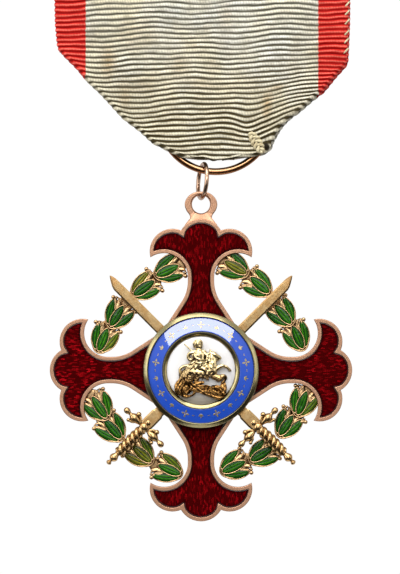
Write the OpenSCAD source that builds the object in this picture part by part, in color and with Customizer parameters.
// Order insignia: an enamelled cross with a laurel wreath and crossed swords, on a pinned ribbon.
// It hangs upright and faces -Y. The origin is the middle of the brooch needle behind the ribbon.

/* [Cross] */
// Distance from the centre of the cross to the end of an arm
arm_reach = 21.0; // [20:0.1:22]
// Thickness of the cross plate
cross_t = 1.6; // [1.4:0.1:2]
// Width of the gold rim around the red enamel
rim_w = 0.52; // [0.4:0.02:0.7]
// Radius of the middle lobe of an arm
mid_lobe_r = 3.22; // [3:0.02:3.4]
// Radius of each side lobe of an arm
side_lobe_r = 3.17; // [3:0.01:3.3]
// Half the width of an arm at its neck
neck_half = 1.83; // [1.7:0.01:2]
// Radius of the hollow under the side lobes
hollow_r = 3.31; // [3.2:0.01:3.4]
// Radius of the flare between the neck and the medallion
flare_r = 5.27; // [5:0.01:5.6]
// Depth of the cells that hold the red enamel
cell_depth = 0.5; // [0.3:0.05:0.7]

/* [Eyelet] */
// Radius of the eyelet's hole
eye_hole_r = 1.25; // [1.2:0.01:1.35]
// Outer radius of the eyelet
eye_r = 2.2; // [2.1:0.05:2.4]
// Thickness of the eyelet
eye_t = 1.0; // [0.8:0.05:1]

/* [Medallion] */
// Outer radius of the medallion's case
case_r = 8.0; // [7.8:0.05:8.2]
// Outer radius of the blue ring
blue_outer_r = 7.3; // [7.2:0.02:7.4]
// Inner radius of the blue ring
blue_inner_r = 5.4; // [5.3:0.02:5.5]
// Radius of the white disc
disc_r = 4.7; // [4.6:0.02:4.8]
// Height of the medallion's floor over the middle of the cross plate
case_floor = 2.35; // [2.3:0.05:2.5]
// Thickness of the plain plate behind the cross
back_plate_t = 1.25; // [0.6:0.05:2]

/* [Wreath] */
// Radius of the wreath's middle line
wreath_r = 14.4; // [14.2:0.05:14.6]
// Length of a gold leaf
leaf_len = 3.9; // [3.6:0.05:4]
// Width of a gold leaf
leaf_w = 1.5; // [1.4:0.05:1.6]
// Spread of the outer leaves of a group
leaf_fan = 28; // [24:1:32]
// Angle between leaf groups
group_pitch = 18; // [17:0.5:18]

/* [Swords] */
// Distance from the centre to the point of a blade
tip_reach = 18.2; // [17.5:0.1:18.6]
// Distance from the centre to the end of a pommel
pommel_reach = 18.4; // [18:0.1:18.6]
// Width of a blade
blade_w = 1.4; // [1.2:0.05:1.6]
// Thickness of a blade
blade_t = 0.7; // [0.6:0.05:0.7]
// Length of a crossguard from end to end
guard_len = 7.6; // [7:0.1:8]
// Radius of a grip
grip_r = 0.64; // [0.55:0.01:0.64]

/* [Rings] */
// Radius of the ribbon ring's middle line
ring_r = 7.8; // [7.6:0.05:8]
// Radius of the ribbon ring's wire
ring_wire_r = 0.5; // [0.45:0.01:0.5]
// Inner radius of the jump ring
jump_inner_r = 2.1; // [2.1:0.02:2.2]
// Radius of the jump ring's wire
jump_wire_r = 0.3; // [0.26:0.01:0.3]
// Turn of the jump ring away from edge-on
jump_turn = 14; // [8:1:16]
// Sideways lean of the jump ring
jump_lean = 5; // [3:1:6]

/* [Ribbon] */
// Width of the ribbon
ribbon_w = 40.7; // [40:0.1:42]
// Height of the folded ribbon from its top fold to its bottom fold
ribbon_h = 45; // [44:0.5:46]
// Thickness of each layer of the ribbon
ribbon_t = 1; // [1:0.05:1.2]
// Height from the top fold down to the folded corner on the viewer's left
left_corner_h = 29.2; // [28:0.2:30]
// Height from the top fold down to the folded corner on the viewer's right
right_corner_h = 31.2; // [30:0.2:32]
// Width of the ribbon where it passes through its ring
throat_w = 5.4; // [5:0.1:5.6]

/* [Brooch pin] */
// Length of the brooch's plate
pin_plate_l = 32; // [28:1:36]
// Height of the brooch's plate
pin_plate_h = 3.6; // [3:0.2:4]
// Length of the needle
needle_l = 27; // [24:1:28]
// Radius of the needle
needle_r = 0.35; // [0.3:0.01:0.4]

/* [Hidden] */
$fn = 72;

gold = "goldenrod";
ruby = "darkred";
leaf_green = "green";

// Small clearances between pieces that touch on the real object
gap = 0.04;
arm_clearance = 0.06;
wire_gap = 0.1;
cloth_gap = 0.15;

// Depths behind the viewer's side: the needle, the brooch's plate, the ribbon's two layers
plate_t = 0.6;
plate_back = 1.7;
ribbon_back = plate_back + plate_t + 0.1;
layer_gap = 2 * (ring_wire_r + cloth_gap);
ring_depth = ribbon_back + ribbon_t + layer_gap / 2;
fold_r = layer_gap / 2 + ribbon_t;

// Heights from the needle down to the rings and the cross
ribbon_x = 0.2;
ribbon_top_z = 2.6;
ribbon_bottom_z = ribbon_top_z - ribbon_h;
ring_x = 2.1;
ring_below_fold = 1.65;
ring_z = ribbon_bottom_z - ring_below_fold + ring_r;
jump_x = 0.4;
hang_z = ring_z - sqrt(ring_r * ring_r - (ring_x - jump_x) * (ring_x - jump_x));
jump_r = jump_inner_r + jump_wire_r;
jump_drop = jump_inner_r - ring_wire_r - wire_gap;
pivot_z = hang_z - (jump_drop + jump_r) * cos(jump_lean);
eye_rise = 2.03;
eye_bevel = 0.35;
eye_u = arm_reach + eye_rise;
cross_x = jump_x - (jump_drop + jump_r) * sin(jump_lean);
cross_z = pivot_z + jump_wire_r + wire_gap - eye_hole_r - eye_u;

// Centres of the arcs of an arm's outline: across the arm, then out from the centre
mid_lobe_u = arm_reach - mid_lobe_r;
side_lobe_v = 3.96;
side_lobe_u = arm_reach - 4.53;
hollow_u = arm_reach - 8.07;
flare_u = arm_reach - 8.6;
flare_angle = 33;
// Half the width of the straight base under the lobes, past the end of the flare
lobe_base = 1.6;
// Radius of the gold seat under the medallion
seat_r = case_r - 0.7;

// Heights over the middle of the cross plate
half_t = cross_t / 2;
cell_floor = half_t - cell_depth;
red_top = half_t - 0.08;
leaf_back = -0.5;
leaf_top = 0.45;
leaf_pocket = 0.05;
leaf_enamel_top = 0.6;
leaf_edge = 0.2;
stem_top = 0.2;
berry_back = -0.2;
berry_top = 0.3;
sword_mid = 1.4;
case_back = half_t + gap;
enamel_floor = case_floor + gap;
relief_back = 2.9;

// Puts the cross at its place under the jump ring
module on_cross() {
    translate([cross_x, -ring_depth, cross_z]) children();
}

// Extrudes a front-view outline between two heights towards the viewer
module slab(from, to) {
    rotate([90, 0, 0]) translate([0, 0, from]) linear_extrude(to - from) children();
}

// Turns a profile of radius and height towards the viewer
module turned(points) {
    rotate([90, 0, 0]) rotate_extrude() polygon(points);
}

// Outline of the arm that points up, drawn in from its edge by the inset
module arm_outline(inset) {
    side_v = neck_half + flare_r - (flare_r + inset) * cos(flare_angle);
    side_u = flare_u - (flare_r + inset) * sin(flare_angle);
    corner = (side_v + side_u * tan(flare_angle)) / (1 + tan(flare_angle));
    wide = side_v + lobe_base;
    difference() {
        union() {
            polygon([
                [0, 0], [corner, corner], [side_v, side_u], [wide, side_u],
                [wide, hollow_u + hollow_r], [-wide, hollow_u + hollow_r],
                [-wide, side_u], [-side_v, side_u], [-corner, corner]
            ]);
            translate([0, mid_lobe_u]) circle(mid_lobe_r - inset);
            for (side = [-1, 1])
                translate([side * side_lobe_v, side_lobe_u]) circle(side_lobe_r - inset);
        }
        for (side = [-1, 1]) {
            translate([side * (neck_half + flare_r), flare_u]) circle(flare_r + inset);
            translate([side * (neck_half + hollow_r), hollow_u]) circle(hollow_r + inset);
        }
    }
}

// All four arms together
module cross_outline(inset) {
    for (turn = [0:3]) rotate(90 * turn) arm_outline(inset);
}

// One enamel cell between the rim and the medallion's seat
module cell_outline(turn, inset) {
    difference() {
        rotate(90 * turn) arm_outline(rim_w + inset);
        circle(seat_r + inset);
    }
}

// Flat ring over the top arm, with both edges of its hole bevelled
module eyelet() {
    translate([0, 0, eye_u]) rotate([90, 0, 0]) difference() {
        translate([0, 0, -eye_t / 2]) cylinder(r = eye_r, h = eye_t);
        translate([0, 0, -cross_t]) cylinder(r = eye_hole_r, h = 2 * cross_t);
        for (side = [0, 1]) mirror([0, 0, side]) translate([0, 0, eye_t / 2 - eye_bevel])
            cylinder(r1 = eye_hole_r, r2 = eye_hole_r + 2 * eye_bevel, h = 2 * eye_bevel);
    }
}

module cross_frame() {
    color(gold) on_cross() {
        difference() {
            slab(-half_t, half_t) cross_outline(0);
            for (turn = [0:3]) slab(cell_floor, half_t + 1) cell_outline(turn, 0);
            translate([0, 0, eye_u]) rotate([90, 0, 0])
                cylinder(r = eye_hole_r + eye_bevel, h = 2 * cross_t, center = true);
        }
        eyelet();
    }
}

module arm_enamel(turn) {
    color(ruby) on_cross() slab(cell_floor + gap, red_top) cell_outline(turn, gap);
}

// Pointed leaf outline from the origin along +X
module leaf_outline(length, width) {
    arc_r = (length * length / 4 + width * width / 4) / width;
    intersection() {
        translate([length / 2, arc_r - width / 2]) circle(arc_r);
        translate([length / 2, width / 2 - arc_r]) circle(arc_r);
    }
}

// Turn from the wreath's radius to the middle leaf of a group
leaf_turn = -97;

// The leaf outlines of one quarter of the wreath on the viewer's left, with tips towards the top
module leaves(first_base, inset) {
    for (group = [0:3], fan = [-leaf_fan, 0, leaf_fan])
        rotate(first_base + group * group_pitch) translate([wreath_r, 0]) rotate(fan + leaf_turn)
            translate([inset, 0]) leaf_outline(leaf_len - 2 * inset, leaf_w - 2 * inset);
}

// Clips a wreath quarter where it meets the arms
module between_arms(clearance) {
    difference() {
        children();
        cross_outline(-clearance);
    }
}

// A berry on each end of a short stalk across the foot of each leaf group
module berries(first_base) {
    berry_r = 0.32;
    stalk = 3.5;
    for (group = [0:3])
        rotate(first_base + group * group_pitch - 2) translate([wreath_r, 0]) {
            square([stalk, berry_r], center = true);
            for (side = [-1, 1]) translate([side * stalk / 2, 0]) circle(berry_r);
        }
}

// Bent stem behind the leaves of the quarter around the middle angle
module stem(middle) {
    half_w = 0.3;
    intersection() {
        difference() {
            circle(wreath_r + half_w);
            circle(wreath_r - half_w);
        }
        rotate(middle - 45) square(arm_reach);
    }
}

// Gold of one wreath quarter on the viewer's left: leaves, stem and berries
module wreath_left(first_base, middle) {
    difference() {
        union() {
            slab(leaf_back, leaf_top) between_arms(arm_clearance) leaves(first_base, 0);
            slab(leaf_back, stem_top) between_arms(arm_clearance) stem(middle);
            slab(berry_back, berry_top) between_arms(arm_clearance) berries(first_base);
        }
        slab(leaf_pocket, leaf_top + 1)
            between_arms(arm_clearance + leaf_edge) leaves(first_base, leaf_edge);
    }
}

module wreath_quarter(right, first_base, middle) {
    color(gold) on_cross() mirror([right, 0, 0]) wreath_left(first_base, middle);
}

module leaf_enamel(right, first_base) {
    color(leaf_green) on_cross() mirror([right, 0, 0])
        slab(leaf_pocket + gap, leaf_enamel_top)
            between_arms(arm_clearance + leaf_edge + gap) leaves(first_base, leaf_edge + gap);
}

// Angle of the foot of the first leaf group in the upper and lower quarters
upper_base = 115;
lower_base = 205;

module wreath_upper_left() { wreath_quarter(0, upper_base, 135); }
module wreath_upper_right() { wreath_quarter(1, upper_base, 135); }
module wreath_lower_left() { wreath_quarter(0, lower_base, 225); }
module wreath_lower_right() { wreath_quarter(1, lower_base, 225); }
module leaf_enamel_upper_left() { leaf_enamel(0, upper_base); }
module leaf_enamel_upper_right() { leaf_enamel(1, upper_base); }
module leaf_enamel_lower_left() { leaf_enamel(0, lower_base); }
module leaf_enamel_lower_right() { leaf_enamel(1, lower_base); }

// Distances of the hilt's parts from the centre
blade_start = 10.5;
ricasso_start = 11.3;
guard_s = 11.4;
grip_end = 16.2;
pommel_end = 17.6;
// The ricasso, the stout stretch of a blade next to its guard
ricasso_half = 0.88;
ricasso_l = 2.9;

// Round bar across the blade's line
module crossbar(radius, length) {
    rotate([90, 0, 0]) cylinder(r = radius, h = length, center = true);
}

// Crossguard with a bead, a knob and a short side branch on each half
module crossguard() {
    rod_r = 0.3;
    rod_l = guard_len - 0.8;
    bead_r = 0.56;
    bead_l = 1.2;
    bead_at = 1.9;
    knob_r = 0.4;
    knob_l = 1.4;
    branch_l = 2.2;
    branch_at = 1.3;
    branch_ahead = 0.35;
    branch_turn = 28;
    translate([-guard_s, 0, 0]) {
        crossbar(rod_r, rod_l);
        for (side = [-1, 1]) {
            translate([0, side * bead_at, 0]) crossbar(bead_r, bead_l);
            translate([0, side * (guard_len - knob_l) / 2, 0]) crossbar(knob_r, knob_l);
            translate([branch_ahead, side * branch_at, 0]) rotate([0, 0, side * branch_turn])
                crossbar(rod_r, branch_l);
        }
    }
}

// Round or tapered bar along the blade's line, which starts at a distance from the centre
module along_hilt(from, length, r_start, r_stop) {
    translate([-from, 0, 0]) rotate([0, 90, 0]) cylinder(r1 = r_start, r2 = r_stop, h = length);
}

// Grip, tapered pommel and end ball
module hilt() {
    neck_r = 0.3;
    cone_r_small = 0.42;
    cone_r_large = 0.58;
    cone_from = pommel_end - 0.1;
    ball_r = 0.36;
    ball_s = pommel_reach - ball_r;
    along_hilt(grip_end, grip_end - guard_s + 0.3, grip_r, grip_r);
    along_hilt(pommel_end, 2, neck_r, neck_r);
    along_hilt(cone_from, 1, cone_r_small, cone_r_large);
    along_hilt(ball_s, 1, 0.2, 0.2);
    translate([-ball_s, 0, 0]) sphere(ball_r);
}

// Sword along +X with its hilt at the negative end, flat side towards +Z
module sword() {
    half_w = blade_w / 2;
    // Lengths of the slopes of the two edges at the point
    long_slope = 2.4;
    short_slope = 0.9;
    translate([0, 0, -blade_t / 2]) linear_extrude(blade_t) polygon([
        [-blade_start, -half_w], [tip_reach - long_slope, -half_w], [tip_reach, half_w / 2],
        [tip_reach - short_slope, half_w], [-blade_start, half_w]
    ]);
    translate([-ricasso_start, -ricasso_half, -blade_t / 2]) cube([ricasso_l, 2 * ricasso_half, blade_t]);
    crossguard();
    hilt();
}

// Half-lap where the two blades cross under the medallion
module lap(side) {
    lap_w = 2.4;
    translate([-lap_w / 2, -lap_w / 2, side > 0 ? -gap / 2 : -blade_t])
        cube([lap_w, lap_w, blade_t + gap / 2]);
}

module sword_left() {
    color(gold) on_cross() rotate([90, 0, 0]) translate([0, 0, sword_mid]) difference() {
        rotate(45) sword();
        rotate(45) lap(1);
    }
}

module sword_right() {
    color(gold) on_cross() rotate([90, 0, 0]) translate([0, 0, sword_mid]) difference() {
        rotate(135) mirror([0, 1, 0]) sword();
        rotate(135) lap(-1);
    }
}

// Slots in the case's skirt that the blades pass through
module blade_slots() {
    slot_from = case_r / 2;
    for (turn = [45, 135, 225, 315]) {
        slot_half = (turn < 180 ? blade_w / 2 : ricasso_half) + gap;
        rotate([0, -turn, 0]) translate([slot_from, -(sword_mid + blade_t / 2 + gap), -slot_half])
            cube([case_r, sword_mid, 2 * slot_half]);
    }
}

module medallion_case() {
    floor_t = 0.45;
    skirt_t = 0.6;
    lip = case_floor + 0.45;
    lip_rise = 0.1;
    lip_w = 0.45;
    round = 0.2;
    wall_rise = 0.15;
    outer_wall = blue_outer_r + gap;
    ring_wall = blue_inner_r - gap;
    disc_wall = disc_r + gap;
    color(gold) on_cross() difference() {
        turned([
            [0, case_floor - floor_t], [case_r - skirt_t, case_floor - floor_t],
            [case_r - skirt_t, case_back], [case_r, case_back],
            [case_r, lip - lip_rise], [case_r - round, lip + lip_rise],
            [case_r - lip_w, lip + lip_rise], [outer_wall, lip - lip_rise], [outer_wall, case_floor],
            [ring_wall, case_floor], [ring_wall, lip], [blue_inner_r - round, lip + wall_rise],
            [disc_r + round, lip + wall_rise], [disc_wall, lip], [disc_wall, case_floor], [0, case_floor]
        ]);
        blade_slots();
    }
}

module medallion_blue_ring() {
    middle = (blue_outer_r + blue_inner_r) / 2;
    shoulder = 0.5;
    edge_top = enamel_floor + 0.22;
    shoulder_top = enamel_floor + 0.4;
    crown_top = enamel_floor + 0.46;
    color("royalblue") on_cross() turned([
        [blue_inner_r, enamel_floor], [blue_outer_r, enamel_floor], [blue_outer_r, edge_top],
        [middle + shoulder, shoulder_top], [middle, crown_top], [middle - shoulder, shoulder_top],
        [blue_inner_r, edge_top]
    ]);
}

module medallion_white_disc() {
    shoulder_r = disc_r * 0.7;
    edge_top = enamel_floor + 0.25;
    shoulder_top = enamel_floor + 0.38;
    crown_top = enamel_floor + 0.46;
    color("white") on_cross() turned([
        [0, enamel_floor], [disc_r, enamel_floor], [disc_r, edge_top],
        [shoulder_r, shoulder_top], [0, crown_top]
    ]);
}

// Rounded limbs through a row of places on the relief, each with its half-width
module limbs(rows) {
    for (row = rows) translate([row[0], row[1]]) circle(row[2]);
    for (i = [1:len(rows) - 1]) {
        from = rows[i - 1];
        to = rows[i];
        along = [to[0] - from[0], to[1] - from[1]];
        translate([from[0], from[1]]) rotate(atan2(along[1], along[0])) polygon([
            [0, -from[2]], [norm(along), -to[2]], [norm(along), to[2]], [0, from[2]]
        ]);
    }
}

// Horse that rears over a serpent, as front-view limbs from the centre of the disc
module horse_and_serpent() {
    limbs([[-1.6, 0.1, 0.85], [1.2, 0.9, 0.8], [1.75, 2.1, 0.42], [2.55, 1.65, 0.25]]);
    limbs([[1.3, 0.55, 0.4], [2.7, 0.95, 0.22], [3.3, 0.3, 0.16]]);
    limbs([[1.25, 0.15, 0.42], [2.6, -0.3, 0.24], [2.7, -1.1, 0.16]]);
    limbs([[-1.8, 0.0, 0.6], [-2.4, -1.3, 0.3], [-1.9, -2.2, 0.2]]);
    limbs([[-1.3, -0.2, 0.55], [-0.9, -1.7, 0.3]]);
    limbs([[-2.2, 0.5, 0.3], [-3.0, -0.6, 0.35]]);
    limbs([
        [-3.6, -1.8, 0.3], [-2.6, -3.0, 0.42], [-0.4, -2.1, 0.55], [1.6, -2.7, 0.5],
        [3.2, -2.4, 0.32], [3.5, -1.2, 0.18]
    ]);
}

// Helmeted rider with a lance
module rider() {
    limbs([[0.75, -0.3, 0.26], [0.05, 1.0, 0.6], [-0.2, 2.4, 0.62], [-0.15, 3.5, 0.45]]);
    limbs([[-0.6, 2.3, 0.3], [-1.5, 1.9, 0.24], [-1.5, 2.7, 0.2]]);
    limbs([[-2.0, 3.2, 0.12], [0.4, -0.9, 0.13]]);
}

module horseman_relief() {
    low_t = 0.55;
    high_from = 0.3;
    high_to = 0.85;
    color(gold) on_cross() {
        slab(relief_back, relief_back + low_t) {
            horse_and_serpent();
            rider();
        }
        slab(relief_back + high_from, relief_back + high_to) rider();
    }
}

module back_plate() {
    plate_r = case_r - 0.4;
    bevel_w = 0.4;
    bevel_t = 0.3;
    front = -half_t - gap;
    back = -half_t - back_plate_t;
    color(gold) on_cross() turned([
        [0, front], [plate_r, front], [plate_r, back + bevel_t], [plate_r - bevel_w, back], [0, back]
    ]);
}

module torus(middle_r, wire_r) {
    rotate_extrude() translate([middle_r, 0]) circle(wire_r, $fn = 32);
}

module ribbon_ring() {
    color(gold) translate([ring_x, -ring_depth, ring_z]) rotate([90, 0, 0]) torus(ring_r, ring_wire_r);
}

module jump_ring() {
    color(gold) translate([jump_x, -ring_depth, hang_z]) rotate([0, jump_lean, 0])
        translate([0, 0, -jump_drop]) rotate([0, 0, jump_turn]) rotate([0, 90, 0])
            torus(jump_r, jump_wire_r);
}

// Outline of one hanging layer: full width above, then folded in along both diagonals to the throat.
// Each point gives the place across the ribbon and the height over the bottom fold.
module layer_outline() {
    left = ribbon_x - ribbon_w / 2;
    right = ribbon_x + ribbon_w / 2;
    throat_left = ring_x - throat_w / 2;
    throat_right = ring_x + throat_w / 2;
    fold_top = ribbon_h - fold_r;
    polygon([
        [left, fold_top], [left, ribbon_h - left_corner_h], [-15.7, 11.4], [-6.7, 2.2],
        [-4.2, 1.5], [-1.9, 0.4], [throat_left, 0.1], [throat_left, fold_r], [throat_right, fold_r],
        [throat_right, 0.2], [6.9, 0.9], [9.4, 2.6], [16.2, 9.6],
        [right - 0.7, ribbon_h - right_corner_h], [right, ribbon_h - 24], [right, fold_top]
    ]);
}

// Half a tube along X that joins the two layers
module fold(width, side) {
    difference() {
        rotate([0, 90, 0]) cylinder(r = fold_r, h = width, center = true);
        rotate([0, 90, 0]) cylinder(r = layer_gap / 2, h = width + 1, center = true);
        translate([0, 0, -side * fold_r]) cube([width + 1, 4 * fold_r, 2 * fold_r], center = true);
    }
}

module ribbon() {
    color("beige") {
        for (back = [ring_depth + layer_gap / 2, ring_depth - layer_gap / 2 - ribbon_t])
            translate([0, 0, ribbon_bottom_z]) slab(back, back + ribbon_t) layer_outline();
        translate([ribbon_x, -ring_depth, ribbon_top_z - fold_r]) fold(ribbon_w, 1);
        translate([ring_x, -ring_depth, ribbon_bottom_z + fold_r]) fold(throat_w, -1);
    }
}

// Plate sewn to the back of the ribbon, with a needle between a hinge block and a catch
module brooch_pin() {
    post_w = 1.6;
    post_root = 0.1;
    post_past_needle = 0.6;
    color("silver") {
        translate([-pin_plate_l / 2, -plate_back - plate_t, -pin_plate_h / 2])
            cube([pin_plate_l, plate_t, pin_plate_h]);
        for (side = [-1, 1])
            translate([side * needle_l / 2 - post_w / 2, -plate_back - post_root, -post_w / 2])
                cube([post_w, plate_back + post_root + post_past_needle, post_w]);
        rotate([0, 90, 0]) cylinder(r = needle_r, h = needle_l, center = true);
    }
}

ribbon();
brooch_pin();
ribbon_ring();
jump_ring();
cross_frame();
arm_enamel(0);  // arm_enamel_top
arm_enamel(1);  // arm_enamel_left
arm_enamel(2);  // arm_enamel_bottom
arm_enamel(3);  // arm_enamel_right
wreath_upper_left();
wreath_upper_right();
wreath_lower_left();
wreath_lower_right();
leaf_enamel_upper_left();
leaf_enamel_upper_right();
leaf_enamel_lower_left();
leaf_enamel_lower_right();
sword_left();
sword_right();
medallion_case();
medallion_blue_ring();
medallion_white_disc();
horseman_relief();
back_plate();
